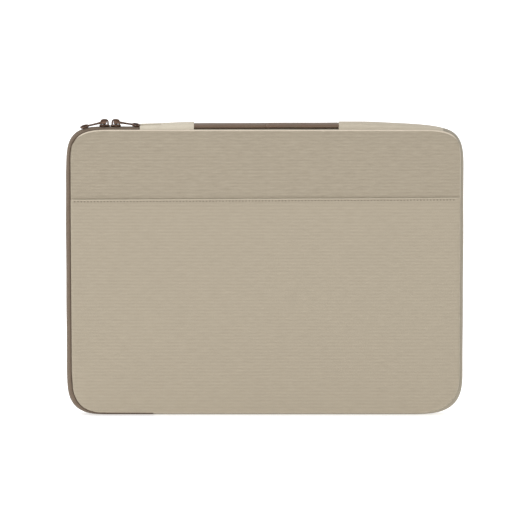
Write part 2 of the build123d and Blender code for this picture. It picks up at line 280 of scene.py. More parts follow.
SEAM_TUCK = 0.35
CROWN_POWER = 2.6
COVER_RIGHT_FADE = 168.0
STRIP_SWAY = 0.16
SWAY_SHORT = 17.0
SWAY_LONG = 41.0
STRIP_EDGE = 0.42
CORD_SIDES = 10
RIDGE_OUT = 1.5
RIDGE_WIDTH = 0.9


def seam_drop(pts):
    """How far the band's edges fall to meet the walls' outline, at each point of its line."""
    return edge_distance(pts[:, 0], pts[:, 1]) + SEAM_TUCK


def crown(y):
    """Share of the fall to the seams at depth y: none in the middle, all at the edges."""
    return np.abs(2 * (y - MID_Y) / (BACK_Y - FRONT_Y)) ** CROWN_POWER


def sweep_strip(name, pts, run, y_low, y_high, thick, material,
                sink=0.0, ridge=0.0, tuck=0.0, flat_floor=False, count=14, **kw):
    """Cloth strip along an (x, z) line, crowned across its width and sewn down at its edges.

    sink lowers it all, tuck its edges, and ridge raises a low welt beside its middle. With
    flat_floor its waves stop on the floor and on the top run."""
    nrm = normals_of(pts, closed=False)
    drop = seam_drop(pts)
    y = np.linspace(y_low, y_high, count)
    depth = np.concatenate([y, [y_high + thick * STRIP_EDGE], y[::-1], [y_low - thick * STRIP_EDGE]])
    welt = ridge * np.exp(-((np.abs(y) - RIDGE_OUT) / RIDGE_WIDTH) ** 2)
    across = np.concatenate([[0], np.cumsum(np.abs(np.diff(depth)) + 0.01)])
    rings, cloth = [], []
    for p, n, r, d in zip(pts, nrm, run, drop):
        wave = STRIP_SWAY * math.sin(r / SWAY_SHORT) * math.sin(r / SWAY_LONG + 1.3)
        if flat_floor and (p[1] < 1.0 or (p[1] > TOP - 2.0 and p[0] < COVER_RIGHT_FADE)):
            wave = 0.0
        outer = wave - d * crown(y) - sink - tuck * crown(y) ** 3 + welt
        inner = outer - thick
        out = np.concatenate([outer, [outer[-1] - thick / 2], inner[::-1], [outer[0] - thick / 2]])
        height = np.maximum(p[1] + n[1] * out, FLOOR_GAP)
        rings.append(np.column_stack([p[0] + n[0] * out, depth, height]))
        cloth.append(cloth_ring(r, across))
    verts, faces = loft(rings)
    return build(name, verts, faces, np.concatenate(cloth), material, **kw)


def sweep_tube(name, pts, run, y, radius, material, **kw):
    """Round cord along an (x, z) line at depth y."""
    a = turns(CORD_SIDES)
    out = radius * np.cos(a)
    rings, cloth = [], []
    for p, n, r in zip(pts, normals_of(pts, closed=False), run):
        rings.append(np.column_stack([p[0] + n[0] * out, y - radius * np.sin(a), p[1] + n[1] * out]))
        cloth.append(cloth_ring(r, a * radius))
    verts, faces = loft(rings)
    return build(name, verts, faces, np.concatenate(cloth), material, **kw)


# ---------------- materials

def nodes_of(name):
    """New node material with its principled shader and a small node maker."""
    mat = bpy.data.materials.new(name)
    mat.use_nodes = True
    tree = mat.node_tree
    shader = tree.nodes["Principled BSDF"]

    def make(kind, **values):
        node = tree.nodes.new(kind)
        for key, value in values.items():
            if key.startswith("in_"):
                node.inputs[key[3:].replace("_", " ")].default_value = value
            else:
                setattr(node, key, value)
        return node

    return mat, shader, make


def link(a, out, b, into):
    """Join one node's output to another's input."""
    a.id_data.links.new(a.outputs[out], b.inputs[into])


def mix_colour(make, fac_node, fac_out, low, high):
    """Two colours mixed by a factor."""
    node = make("ShaderNodeMix", data_type="RGBA", blend_type="MIX")
    node.inputs[6].default_value = (*low, 1)
    node.inputs[7].default_value = (*high, 1)
    link(fac_node, fac_out, node, 0)
    return node


def darkened_by(make, tone, noise, share):
    """A mixed colour multiplied by a share of a noise."""
    node = make("ShaderNodeMix", data_type="RGBA", blend_type="MULTIPLY")
    node.inputs[0].default_value = share
    link(tone, 2, node, 6)
    link(noise, "Color", node, 7)
    return node


def noise_over(make, coord, out, scale, detail, rough=0.5):
    """Noise over a coordinate, at one scale or stretched by a scale for each axis."""
    if np.ndim(scale) == 0:
        node = make("ShaderNodeTexNoise", in_Scale=scale, in_Detail=detail, in_Roughness=rough)
        link(coord, out, node, "Vector")
        return node
    mapping = make("ShaderNodeMapping", in_Scale=scale)
    link(coord, out, mapping, "Vector")
    return noise_over(make, mapping, "Vector", 1.0, detail, rough)


def scaled(make, source, out, factor, add):
    """A value times a factor, plus a number or another node's value."""
    node = make("ShaderNodeMath", operation="MULTIPLY_ADD")
    node.inputs[1].default_value = factor
    link(source, out, node, 0)
    if isinstance(add, float):
        node.inputs[2].default_value = add
    else:
        link(add, 0, node, 2)
    return node


def spread(make, source, low, high, shader):
    """Roughness that follows a noise between two values."""
    node = make("ShaderNodeMapRange")
    node.inputs["To Min"].default_value = low
    node.inputs["To Max"].default_value = high
    link(source, "Fac", node, "Value")
    link(node, 0, shader, "Roughness")


def bumped(make, source, out, strength, distance, shader):
    """Surface relief from a height."""
    node = make("ShaderNodeBump", in_Strength=strength, in_Distance=distance)
    link(source, out, node, "Height")
    link(node, 0, shader, "Normal")


def fabric(name, base, dark, light, pitch_u, pitch_v, rib,
           rough=0.86, sheen=0.25, slub=1.0, mottled=0.5):
    """Woven cloth: a plain weave, slub streaks along u, soft ribs across v and patchy wear."""
    mat, shader, make = nodes_of(name)
    coord = make("ShaderNodeAttribute", attribute_name="cloth")
    split = make("ShaderNodeSeparateXYZ")
    link(coord, "Vector", split, 0)

    def wave(axis_out, pitch):
        phase = scaled(make, split, axis_out, 2 * math.pi / (pitch * MM), 0.0)
        sine = make("ShaderNodeMath", operation="SINE")
        link(phase, 0, sine, 0)
        return sine

    weave = make("ShaderNodeMath", operation="MULTIPLY")
    link(wave("X", pitch_u), 0, weave, 0)
    link(wave("Y", pitch_v), 0, weave, 1)
    ribs = wave("Y", rib)
    streak = noise_over(make, coord, "Vector", (95.0, 560.0, 400.0), 3.0, 0.6)
    cross = noise_over(make, coord, "Vector", (800.0, 140.0, 400.0), 2.0)
    patch = noise_over(make, coord, "Vector", 22.0, 4.0, 0.55)

    streaked = mix_colour(make, streak, "Fac", dark, light)
    tone = make("ShaderNodeMix", data_type="RGBA", blend_type="MIX")
    tone.inputs[0].default_value = 1 - 0.8 * slub
    link(streaked, 2, tone, 6)
    tone.inputs[7].default_value = (*base, 1)

    shade = scaled(make, weave, 0, 0.045, 0.97)
    shade = scaled(make, ribs, 0, 0.03, shade)
    shade = scaled(make, patch, "Fac", 0.10 * mottled, shade)
    shade = scaled(make, cross, "Fac", 0.06 * slub, shade)
    shaded = make("ShaderNodeVectorMath", operation="SCALE")
    link(tone, 2, shaded, 0)
    link(shade, 0, shaded, "Scale")
    link(shaded, 0, shader, "Base Color")

    height = scaled(make, streak, "Fac", 0.8, weave)
    height = scaled(make, ribs, 0, 0.5, height)
    bumped(make, height, 0, 0.35, 0.00025, shader)
    spread(make, patch, rough - 0.06, rough + 0.08, shader)
    shader.inputs["Sheen Weight"].default_value = sheen
    shader.inputs["Sheen Roughness"].default_value = 0.45
    shader.inputs["Sheen Tint"].default_value = (0.9, 0.85, 0.78, 1)
    shader.inputs["Specular IOR Level"].default_value = 0.25
    return mat


def leather(name, base, dark):
    """Smooth strap leather with a fine grain and worn, lighter patches."""
    mat, shader, make = nodes_of(name)
    coord = make("ShaderNodeAttribute", attribute_name="cloth")
    grain = make("ShaderNodeTexVoronoi", in_Scale=1400.0, feature="DISTANCE_TO_EDGE")
    link(coord, "Vector", grain, "Vector")
    patch = noise_over(make, coord, "Vector", 60.0, 5.0)
    streak = noise_over(make, coord, "Vector", (60.0, 700.0, 300.0), 3.0)
    tone = mix_colour(make, patch, "Fac", dark, base)
    link(darkened_by(make, tone, streak, 0.35), 2, shader, "Base Color")
    bumped(make, grain, "Distance", 0.35, 0.0002, shader)
    spread(make, streak, 0.24, 0.82, shader)
    return mat


def lacquered(name, base, worn, metallic=0.55):
    """Dark lacquer: fine brushing, and brighter wear in patches."""
    mat, shader, make = nodes_of(name)
    coord = make("ShaderNodeTexCoord")
    brush = noise_over(make, coord, "Object", (500.0, 6000.0, 2500.0), 2.0)
    patch = noise_over(make, coord, "Object", 420.0, 4.0, 0.65)
    edge = make("ShaderNodeMapRange")
    edge.inputs["From Min"].default_value = 0.56
    edge.inputs["From Max"].default_value = 0.74
    link(patch, "Fac", edge, "Value")
    link(mix_colour(make, edge, 0, base, worn), 2, shader, "Base Color")
    shader.inputs["Metallic"].default_value = metallic
    spread(make, brush, 0.28, 0.5, shader)
    bumped(make, brush, "Fac", 0.12, 0.0001, shader)
    return mat


def plush(name, base, dark):
    """Brushed soft lining with a short nap."""
    mat, shader, make = nodes_of(name)
    coord = make("ShaderNodeAttribute", attribute_name="cloth")
    nap = noise_over(make, coord, "Vector", 1500.0, 3.0)
    sway = noise_over(make, coord, "Vector", 35.0, 3.0)
    tone = mix_colour(make, sway, "Fac", dark, base)
    link(darkened_by(make, tone, nap, 0.25), 2, shader, "Base Color")
    bumped(make, nap, "Fac", 0.5, 0.0004, shader)
    shader.inputs["Roughness"].default_value = 0.95
    shader.inputs["Sheen Weight"].default_value = 0.5
    shader.inputs["Sheen Roughness"].default_value = 0.4
    return mat


# Pitch of the threads along and across the cloth, then of its ribs, in millimetres
CANVAS_PITCH = (0.95, 0.8, 3.1)
FOLD_PITCH = (0.9, 0.8, 2.4)
TAPE_PITCH = (0.55, 0.7, 1.4)
WEBBING_PITCH = (0.9, 1.2, 2.4)
THREAD_PITCH = (0.5, 0.5, 0.5)

CANVAS = fabric(
    "canvas", (0.308, 0.266, 0.202), (0.238, 0.203, 0.151), (0.378, 0.330, 0.254), *CANVAS_PITCH,
)
# Lighter copy of the wall's canvas for the pocket: painted light, so the pocket shows brighter than the wall
# above it
CANVAS_POCKET_PAINTED_LIGHT = fabric(
    "canvas_pocket_painted_light", (0.336, 0.291, 0.222), (0.282, 0.243, 0.183), (0.390, 0.340, 0.263), *CANVAS_PITCH,
    slub=0.75,
)
# Lighter copy of the canvas for the pocket's fold: painted highlight
CANVAS_PAINTED_HIGHLIGHT_FOLD = fabric(
    "canvas_painted_highlight_fold", (0.40, 0.350, 0.272), (0.335, 0.290, 0.223), (0.465, 0.41, 0.322), *FOLD_PITCH,
)
# Darker copy of the canvas for the side band: painted shade, for the band's sides and bottom turned away
# from the light
CANVAS_PAINTED_SHADE_SIDE = fabric(
    "canvas_painted_shade_side", (0.262, 0.232, 0.176), (0.21, 0.184, 0.139), (0.315, 0.28, 0.214), *CANVAS_PITCH,
)
# Lighter copies of the canvas for the padded covers on top: painted light from above, stronger on the left
# cover than on the right
CANVAS_PAINTED_TOP_LIGHT = fabric(
    "canvas_painted_top_light", (0.52, 0.470, 0.380), (0.45, 0.402, 0.322), (0.60, 0.548, 0.445), *CANVAS_PITCH,
)
CANVAS_PAINTED_TOP_LIGHT_RIGHT = fabric(
    "canvas_painted_top_light_right", (0.44, 0.390, 0.308), (0.37, 0.325, 0.255), (0.51, 0.456, 0.362), *CANVAS_PITCH,
)
# Lighter copy of the canvas for the rolled edges: painted highlight
CANVAS_PAINTED_HIGHLIGHT_ROLL = fabric(
    "canvas_painted_highlight_roll", (0.53, 0.462, 0.372), (0.45, 0.39, 0.31), (0.60, 0.53, 0.43), *FOLD_PITCH,
)
TAPE = fabric(
    "zip_tape_weave", (0.130, 0.092, 0.062), (0.095, 0.066, 0.043), (0.17, 0.124, 0.087), *TAPE_PITCH,
    rough=0.75, sheen=0.12, mottled=0.4,
)
# Very dark copy of the tape for the cord at the seam: painted shade
TAPE_PAINTED_SHADE = fabric(
    "zip_tape_painted_shade", (0.070, 0.047, 0.031), (0.05, 0.033, 0.021), (0.095, 0.066, 0.044), *TAPE_PITCH,
    rough=0.8, sheen=0.05, mottled=0.4,
)
WEBBING = fabric(
    "strap_webbing", (0.145, 0.095, 0.063), (0.11, 0.070, 0.045), (0.18, 0.122, 0.083), *WEBBING_PITCH,
    rough=0.8, sheen=0.1,
)
THREAD = fabric(
    "sewing_thread", (0.125, 0.098, 0.068), (0.09, 0.07, 0.048), (0.16, 0.13, 0.09), *THREAD_PITCH,
    rough=0.6, sheen=0.3,
)
STRAP = leather("strap_leather", (0.164, 0.101, 0.060), (0.122, 0.074, 0.043))
LINING = plush("lining_plush", (0.30, 0.255, 0.205), (0.22, 0.185, 0.145))
METAL = lacquered("bronze_lacquer", (0.082, 0.043, 0.025), (0.25, 0.155, 0.10))
COIL = lacquered("coil_nylon", (0.10, 0.07, 0.05), (0.15, 0.11, 0.085), metallic=0.0)


# ---------------- outer band

ZIP_TOP_X = COVER_L_LOW[0] - 0.7
ZIP_BOTTOM_X = TAPE_HIGH[0]
ZIP_END_GAP = 0.04
ZIP_HALF_GAP = 0.12
STRIP_INSET = 0.3
TAPE_SHAPE = dict(ridge=0.28, tuck=1.3, flat_floor=True)

right_pts, right_run = stretch(BAND_PTS, ZIP_TOP_X + ZIP_END_GAP, ZIP_BOTTOM_X + ZIP_END_GAP, "right")
left_pts, left_run = stretch(BAND_PTS, ZIP_TOP_X, ZIP_BOTTOM_X, "left")

# The band's darker canvas copy is painted shade
gusset = sweep_strip(
    "gusset_strip", right_pts, right_run, FRONT_Y + STRIP_INSET, BACK_Y - STRIP_INSET, 1.5, CANVAS_PAINTED_SHADE_SIDE,
    tuck=0.5, flat_floor=True, count=22,
    body="body", replaces=("gusset_top", "gusset_right", "gusset_bottom"), slot="canvas",
)
sweep_strip(
    "zip_tape_rear_half", left_pts, left_run, ZIP_HALF_GAP, BACK_Y - STRIP_INSET, 1.0, TAPE,
    body="body", replaces=("zip_tape_back",), slot="zip_tape", **TAPE_SHAPE,
)
tape_front = sweep_strip(
    "zip_tape_front_half", left_pts, left_run, FRONT_Y + STRIP_INSET, -ZIP_HALF_GAP, 1.0, TAPE,
    replaces=("zip_tape_front", "zip_tab_bottom"), slot="zip_tape", **TAPE_SHAPE,
)

# ---------------- padded walls

WALL_MID_Z = (WALL_TOP + WALL_LOW) / 2
WALL_HALF_Z = (WALL_TOP - WALL_LOW) / 2
loop_u = LOOP_DENSE[:, 0] / WALL_HALF
loop_v = (LOOP_DENSE[:, 1] - WALL_MID_Z) / WALL_HALF_Z
WALL_ANGLE, WALL_RADIUS = np.arctan2(loop_v, loop_u), np.hypot(loop_u, loop_v)


def wall_map(x, z):
    """Pull grid points near the wall's corners in to its rounded outline."""
    u, v = x / WALL_HALF, (z - WALL_MID_Z) / WALL_HALF_Z
    t = np.maximum(np.abs(u), np.abs(v))
    safe = np.maximum(t, 1e-9)
    square = np.hypot(u, v) / safe
    ang = np.arctan2(v, u)
    curve = np.interp(ang, WALL_ANGLE, WALL_RADIUS, period=2 * math.pi)
    scale = 1 + (curve / square - 1) * t ** 9
    return u * scale * WALL_HALF, v * scale * WALL_HALF_Z + WALL_MID_Z


def ease(t):
    """Rise from 0 to 1, steep at first, as stuffed cloth leaves a seam."""
    t = np.clip(t, 0, 1)
    return 1 - (1 - t) ** 2.6


def ripple(x, z, seed, size=(70.0, 55.0)):
    """Smooth, slow unevenness from a few seeded waves."""
    local = np.random.default_rng(seed)
    total = np.zeros_like(x)
    for _ in range(7):
        kx, kz = local.uniform(-1, 1, 2)
        phase = local.uniform(0, 2 * math.pi)
        total += np.sin(x / size[0] * kx * 2.2 + z / size[1] * kz * 2.2 + phase)
    return total / 7


WALL_SEAM_Y = FRONT_Y + 0.35
WALL_RIM_Y = FRONT_Y - 0.85
WALL_FACE_Y = FRONT_LOW[1] - 0.5
RIM_ROUND = 1.3
RIM_FLAT = 0.6
FOAM_RISE = 15.0
WALL_BULGE = 0.35
BULGE_REACH = 70.0
WALL_UNEVEN = 0.22
UNEVEN_REACH = 12.0
RIM_STEPS = (0.0, 0.25, 0.6, 1.1, 1.8, 3.0)
LINING_GAP = 0.1
FRONT_GRID = 3.0
BACK_GRID = 4.0
HEM_LIFT = 0.2
HEM_SLOPE = 1.9 / (2 * WALL_HALF)
UNDER_POCKET = 34.0
UNDER_POCKET_DIP = 0.55


def hem_line(x):
    """Height of the pocket's folded edge: it climbs a little to the right."""
    return HEM_Z + HEM_LIFT + HEM_SLOPE * x


def rim(e, seam_y, rim_y):
    """Depth of a wall's rounded rim at a distance from its outline."""
    t = np.clip(e / RIM_ROUND, 0, 1)
    return seam_y + (rim_y - seam_y) * np.sqrt(1 - (1 - t) ** 2)


def wall_front(x, z):
    """Depth of the front wall's outer face."""
    e = edge_distance(x, z)
    y = rim(e, WALL_SEAM_Y, WALL_RIM_Y) + (WALL_FACE_Y - WALL_RIM_Y) * ease((e - RIM_FLAT) / FOAM_RISE)
    y = y - WALL_BULGE * ease(e / BULGE_REACH) + WALL_UNEVEN * ripple(x, z, 3) * smooth(e / UNEVEN_REACH)
    under = np.clip((hem_line(x) + UNDER_POCKET - z) / UNDER_POCKET, 0, 1)
    return y + UNDER_POCKET_DIP * under ** 2 * ease(e / 20.0)


def graded(low, high, step):
    """Grid line places, closer together near the ends."""
    start = [low + r for r in RIM_STEPS]
    stop = [high - r for r in RIM_STEPS[::-1]]
    inner = np.linspace(start[-1], stop[0], max(3, int(round((stop[0] - start[-1]) / step)) + 1))[1:-1]
    return np.concatenate([start, inner, stop])


def wall_grid(step, z_high=WALL_TOP):
    """Grid over a wall, finer at its rim."""
    return np.meshgrid(graded(-WALL_HALF, WALL_HALF, step), graded(WALL_LOW, z_high, step))


def sheet_solid(name, gx, gz, front_y, back_y, material, **kw):
    """Closed form between a front and a rear depth on one grid."""
    rows, cols = gx.shape
    front = np.dstack([gx, front_y, gz]).reshape(-1, 3)
    rear = np.dstack([gx, back_y, gz]).reshape(-1, 3)
    verts = [front, rear]
    cloth = [np.dstack([gx, gz, np.zeros_like(gx)]).reshape(-1, 3)] * 2
    faces = []

    def at(i, j, side):
        return side * rows * cols + i * cols + j

    for i in range(rows - 1):
        for j in range(cols - 1):
            faces.append((at(i, j, 0), at(i, j + 1, 0), at(i + 1, j + 1, 0), at(i + 1, j, 0)))
            faces.append((at(i, j, 1), at(i + 1, j, 1), at(i + 1, j + 1, 1), at(i, j + 1, 1)))
    border = (
        [(0, j) for j in range(cols)] + [(i, cols - 1) for i in range(1, rows)]
        + [(rows - 1, j) for j in range(cols - 2, -1, -1)] + [(i, 0) for i in range(rows - 2, 0, -1)]
    )
    for k, (i, j) in enumerate(border):
        ni, nj = border[(k + 1) % len(border)]
        faces.append((at(ni, nj, 0), at(i, j, 0), at(i, j, 1), at(ni, nj, 1)))
    return build(name, np.concatenate(verts), faces, np.concatenate(cloth), material, **kw)


def across_fold(piece):
    """Bake a piece's placement into its mesh."""
    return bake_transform(piece)


front_x, front_z = wall_map(*wall_grid(FRONT_GRID))
wall = sheet_solid(
    "front_wall_cloth", front_x, front_z, wall_front(front_x, front_z),
    np.full_like(front_x, LINING_LOW[1] - LINING_GAP), CANVAS,
    replaces=("front_panel", "front_panel_flap", "front_foam", "front_foam_flap"), slot="canvas",
)
across_fold(wall)

# ---------------- slip pocket

POCKET_LIFT = 0.9
POCKET_THICK = 0.3
MOUTH_DEPTH = 60.0
MOUTH_LIFT = 0.3
MOUTH_WAVE = 0.12
MOUTH_WAVE_RUN = 31.0
FOLD_DIP = 0.4
FOLD_DIP_WIDTH = 1.1
FOLD_TURN_IN = 0.55
FOLD_ROUND = 0.9
HEM_STITCH = 2.2


def pocket_front(x, z):
    """Depth of the pocket's outer face, easing off the wall towards the mouth."""
    e = edge_distance(x, z)
    below = hem_line(x) - z
    mouth = np.clip(1 - below / MOUTH_DEPTH, 0, 1)
    lift = POCKET_LIFT * ease(e / 3.0) + MOUTH_LIFT * mouth ** 2 * ease(e / 40.0)
    lift += MOUTH_WAVE * mouth * np.sin(x / MOUTH_WAVE_RUN + 0.7) * ease(e / 30.0)
    lift -= FOLD_DIP * np.exp(-((below - HEM_STITCH) / FOLD_DIP_WIDTH) ** 2) * ease(e / 10.0)
    lift -= FOLD_TURN_IN * (1 - np.sqrt(1 - (1 - np.clip(below / FOLD_ROUND, 0, 1)) ** 2))
    return wall_front(x, z) - lift


pocket_x, pocket_z = wall_grid(FRONT_GRID, z_high=HEM_Z)
climb = ((pocket_z - WALL_LOW) / (HEM_Z - WALL_LOW)) ** 2
pocket_x, pocket_z = wall_map(pocket_x, pocket_z + (hem_line(pocket_x) - HEM_Z) * climb)
pocket_y = pocket_front(pocket_x, pocket_z)
pocket_rear = np.maximum(pocket_y + POCKET_THICK, wall_front(pocket_x, pocket_z) - 0.05)
# The pocket's lighter canvas copy is painted light
pocket = sheet_solid(
    "pocket_cloth", pocket_x, pocket_z, pocket_y, pocket_rear, CANVAS_POCKET_PAINTED_LIGHT,
    replaces=("pocket_panel", "pocket_panel_flap"), slot="canvas",
)
across_fold(pocket)
across_fold(tape_front)

# Places along one topstitch: share of half its length, and fullness there
STITCH_SHAPE = ((-1.0, 0.25), (-0.62, 0.85), (0.0, 1.0), (0.62, 0.85), (1.0, 0.25))
STITCH_SIDES = 6
STITCH_PITCH = 3.1
STITCH_LENGTH = 1.7
STITCH_WIDTH = 0.8
STITCH_HEIGHT = 0.6
STITCH_UNEVEN = 0.06


def stitch_row(name, centres, along, outward, material, **kw):
    """Low rounded stitches at each centre, all lying along one direction."""
    turn = turns(STITCH_SIDES)
    side = np.cross(along, outward)
    verts, faces, cloth = [], [], []
    for c in centres:
        rings = []
        for t, full in STITCH_SHAPE:
            across = np.cos(turn)[:, None] * side * full * STITCH_WIDTH / 2
            out = np.sin(turn)[:, None] * outward * full * STITCH_HEIGHT / 2
            rings.append(c + along * t * STITCH_LENGTH / 2 + across + out)
            cloth += [(c[0] + t * STITCH_LENGTH / 2, r * STITCH_WIDTH, 0) for r in turn]
        stitch_verts, stitch_faces = loft(rings)
        faces += [[len(verts) + v for v in face] for face in stitch_faces]
        verts += list(stitch_verts)
    return build(name, verts, faces, cloth, material, **kw)


stitch_x = np.arange(-WALL_HALF + 4.0, WALL_HALF - 3.5, STITCH_PITCH)
stitch_z = hem_line(stitch_x) - HEM_STITCH
stitch_y = pocket_front(stitch_x, stitch_z) - 0.1
uneven = rng.normal(0, STITCH_UNEVEN, len(stitch_x))
hem_stitches = stitch_row(
    "pocket_topstitching", np.column_stack([stitch_x, stitch_y, stitch_z + uneven]),
    np.array([1.0, 0.0, HEM_SLOPE]), np.array([0.0, -1.0, 0.0]), THREAD,
    replaces=("pocket_stitches", "pocket_stitches_flap"), slot="thread",
)
across_fold(hem_stitches)

# Folded edge of the pocket's mouth, a soft round turn of cloth, in a lighter canvas copy: painted highlight
# on the fold
FOLD_R = 0.5
FOLD_SIDES = 12
FOLD_COUNT = 150

fold_x = np.linspace(-WALL_HALF + 1.2, WALL_HALF - 0.6, FOLD_COUNT)
fold_z = hem_line(fold_x) - FOLD_R * 0.9
fold_y = pocket_front(fold_x, fold_z) + 0.18
fold_turn = turns(FOLD_SIDES)
fold_rings = [
    np.column_stack([np.full(FOLD_SIDES, x), y - FOLD_R * np.sin(fold_turn), z + FOLD_R * np.cos(fold_turn)])
    for x, y, z in zip(fold_x, fold_y, fold_z)
]
fold_verts, fold_faces = loft(fold_rings)
fold_cloth = np.column_stack([
    fold_verts[:, 0], fold_verts[:, 2] - fold_verts[:, 1], np.zeros(len(fold_verts)),
])
fold = build("pocket_fold", fold_verts, fold_faces, fold_cloth, CANVAS_PAINTED_HIGHLIGHT_FOLD, slot="canvas")
across_fold(fold)

# ---------------- rolled edges

ROLL_PTS, ROLL_RUN = resample(WALL_LOOP, 2.0)
ROLL_SIDES = 12
ROLL_THIN = 0.32
ROLL_FULLER = 0.46
ROLL_FULL_FROM_Z = 262.0
ROLL_EASE = 8.0
ROLL_SINK = 0.15
ROLL_UNEVEN = 0.05
ROLL_FORWARD = 0.25


def roll(name, y, side, **kw):
    """Thin rolled seam allowance round a wall: fuller along the top than down the sides. Its canvas is a
    lighter copy, painted highlight where the roll catches the light.
    """
    a = turns(ROLL_SIDES)
    rings, cloth = [], []
    for p, n, run in zip(ROLL_PTS, normals_of(ROLL_PTS), ROLL_RUN):
        high = smooth((p[1] - ROLL_FULL_FROM_Z) / ROLL_EASE)
        full = (ROLL_THIN + ROLL_FULLER * high) * (1 + ROLL_UNEVEN * math.sin(run / 9.0))
        out = full * np.cos(a) - ROLL_SINK
        forward = ROLL_FORWARD * high
        depth = y - full * (1 + forward) * np.sin(a) * side - forward * side
        rings.append(np.column_stack([p[0] + n[0] * out, depth, p[1] + n[1] * out]))
        cloth.append(cloth_ring(run, a))
    verts, faces = loft(rings, closed_path=True)
    return build(name, verts, faces, np.concatenate(cloth), CANVAS_PAINTED_HIGHLIGHT_ROLL, slot="canvas", **kw)


front_roll = roll(
    "front_edge_roll", FRONT_Y - 0.05, 1,
    replaces=("front_rolled_edge", "front_rolled_edge_flap"),
)
across_fold(front_roll)
roll("back_edge_roll", BACK_Y + 0.05, -1, body="body", replaces=("back_rolled_edge",))

# Cord along the tape's front edge at the seam; its near-black colour is painted shade in the seam
EDGE_BACK = 0.7
EDGE_R = 0.75
edge_line = left_pts - normals_of(left_pts, closed=False) * (seam_drop(left_pts) - EDGE_BACK)[:, None]
tape_painted_shade = sweep_tube(
    "zip_tape_painted_shade_cord", edge_line, left_run, FRONT_Y + 0.1, EDGE_R, TAPE_PAINTED_SHADE, slot="zip_tape",
)
across_fold(tape_painted_shade)

# ---------------- back wall and linings

BACK_FACE_Y = PANEL_HIGH[1]
BACK_SEAM_Y = BACK_Y - 0.35
BACK_RIM = 0.8
BACK_FOAM_RISE = 16.0
BACK_SINK = 0.12
BACK_UNEVEN = 0.1


def wall_back(x, z):
    """Depth of the back wall's outer face: flat where the sleeve lies on it."""
    e = edge_distance(x, z)
    y = rim(e, BACK_SEAM_Y, BACK_Y + BACK_RIM)
    y = y + (BACK_FACE_Y - BACK_Y - BACK_RIM) * ease((e - RIM_FLAT) / BACK_FOAM_RISE)
    y = y - BACK_SINK + BACK_UNEVEN * ripple(x, z, 11) * smooth(e / UNEVEN_REACH)
    return np.minimum(y, BACK_FACE_Y)


back_x, back_z = wall_map(*wall_grid(BACK_GRID))
back_wall = sheet_solid(
    "back_wall_cloth", back_x, back_z, np.full_like(back_x, BACK_LINING_HIGH[1] + LINING_GAP),
    wall_back(back_x, back_z), CANVAS,
    body="body", replaces=("back_panel", "back_foam"), slot="canvas",
)

LINING_IN = 0.985
LINING_WAVE = 0.1


def lining_sheet(name, y_low, y_high, seed, **kw):
    """Soft lining over a wall's foam."""
    x, z = back_x * LINING_IN, (back_z - WALL_MID_Z) * LINING_IN + WALL_MID_Z
    wave = LINING_WAVE * ripple(x, z, seed, size=(40.0, 35.0))
    return sheet_solid(
        name, x, z, np.full_like(x, y_low) + wave, np.full_like(x, y_high) + wave, LINING,
        slot="lining", **kw
    )


front_lining = lining_sheet(
    "front_wall_lining", LINING_LOW[1] + 0.12, LINING_HIGH[1] + 0.05, 21,
    replaces=("front_lining", "front_lining_flap"),
)
across_fold(front_lining)
back_lining = lining_sheet(
    "back_wall_lining", BACK_LINING_LOW[1] - 0.05, BACK_LINING_HIGH[1] - 0.12, 22,
    body="body", replaces=("back_lining",),
)
gusset_lining = sweep_strip(
    "gusset_inner_lining", right_pts, right_run, LINING_HIGH[1] + 0.4, BACK_LINING_LOW[1] - 0.4, 0.5, LINING,
    sink=1.75, count=8, body="body", replaces=("gusset_lining",), slot="lining",
)


# ---------------- zip coil

COIL_PITCH = 1.3
COIL_R = 0.72
COIL_SINK = 1.05
COIL_APART = 1.15
TURN_STEPS = 9
WIRE_R = 0.3
WIRE_SIDES = 5


def coil_half(name, sign, **kw):
    """Nylon coil: one long helix under the tape's inner edge."""
    steps = int((left_run[-1] - 1.0) / COIL_PITCH) * TURN_STEPS
    at = np.linspace(0.5, left_run[-1] - 0.5, steps)
    nrm = normals_of(left_pts, closed=False)
    cx, cz = (np.interp(at, left_run, left_pts[:, k]) for k in (0, 1))
    nx, nz = (np.interp(at, left_run, nrm[:, k]) for k in (0, 1))
    turn = at / COIL_PITCH * 2 * math.pi + (0 if sign > 0 else math.pi)
    depth = -COIL_SINK - COIL_R + COIL_R * np.cos(turn)
    y = sign * (COIL_APART + COIL_R * 0.95 * np.sin(turn))
    line = np.column_stack([cx + nx * depth, y, cz + nz * depth])
    tangent = np.gradient(line, axis=0)
    tangent /= np.linalg.norm(tangent, axis=1)[:, None]
    side = np.cross(tangent, np.column_stack([nx, np.zeros(steps), nz]))
    side /= np.linalg.norm(side, axis=1)[:, None]
    up = np.cross(side, tangent)
    a = turns(WIRE_SIDES)
    rings = [
        p + WIRE_R * (np.cos(a)[:, None] * u + np.sin(a)[:, None] * v) for p, u, v in zip(line, up, side)
    ]
    verts, faces = loft(rings)
    along, around = np.repeat(at, WIRE_SIDES), np.tile(a * WIRE_R, steps)
    cloth = np.column_stack([along, around, np.zeros(len(along))])
    return build(name, verts, faces, cloth, COIL, slot="zip_coil", **kw)


coil_half("zip_coil_rear_half", 1, body="body", replaces=("zip_coil_back",))
coil_front = coil_half("zip_coil_front_half", -1, replaces=("zip_coil_front",))
across_fold(coil_front)

# ---------------- gusset covers and handle

TOP_LINE = BAND_PTS[BAND_PTS[:, 1] > TOP / 2]
TOP_LINE = TOP_LINE[np.argsort(TOP_LINE[:, 0])]

COVER_OVER = 0.6
COVER_INSET = 0.35
COVER_BASE = 0.25
COVER_ROUND = 0.7
COVER_PINCH = 0.12
COVER_UNDERSIDE = 40.0
LEFT_SECTION = (4.2, 0.62)
RIGHT_SECTION = (3.2, 0.75)
LEFT_LOW = 2.7
LEFT_RISE = 1.75
RIGHT_HIGH = 4.95
RIGHT_LEVEL = 5.0


def band_z(x):
    """Height of the band's top run."""
    return np.interp(x, TOP_LINE[:, 0], TOP_LINE[:, 1])


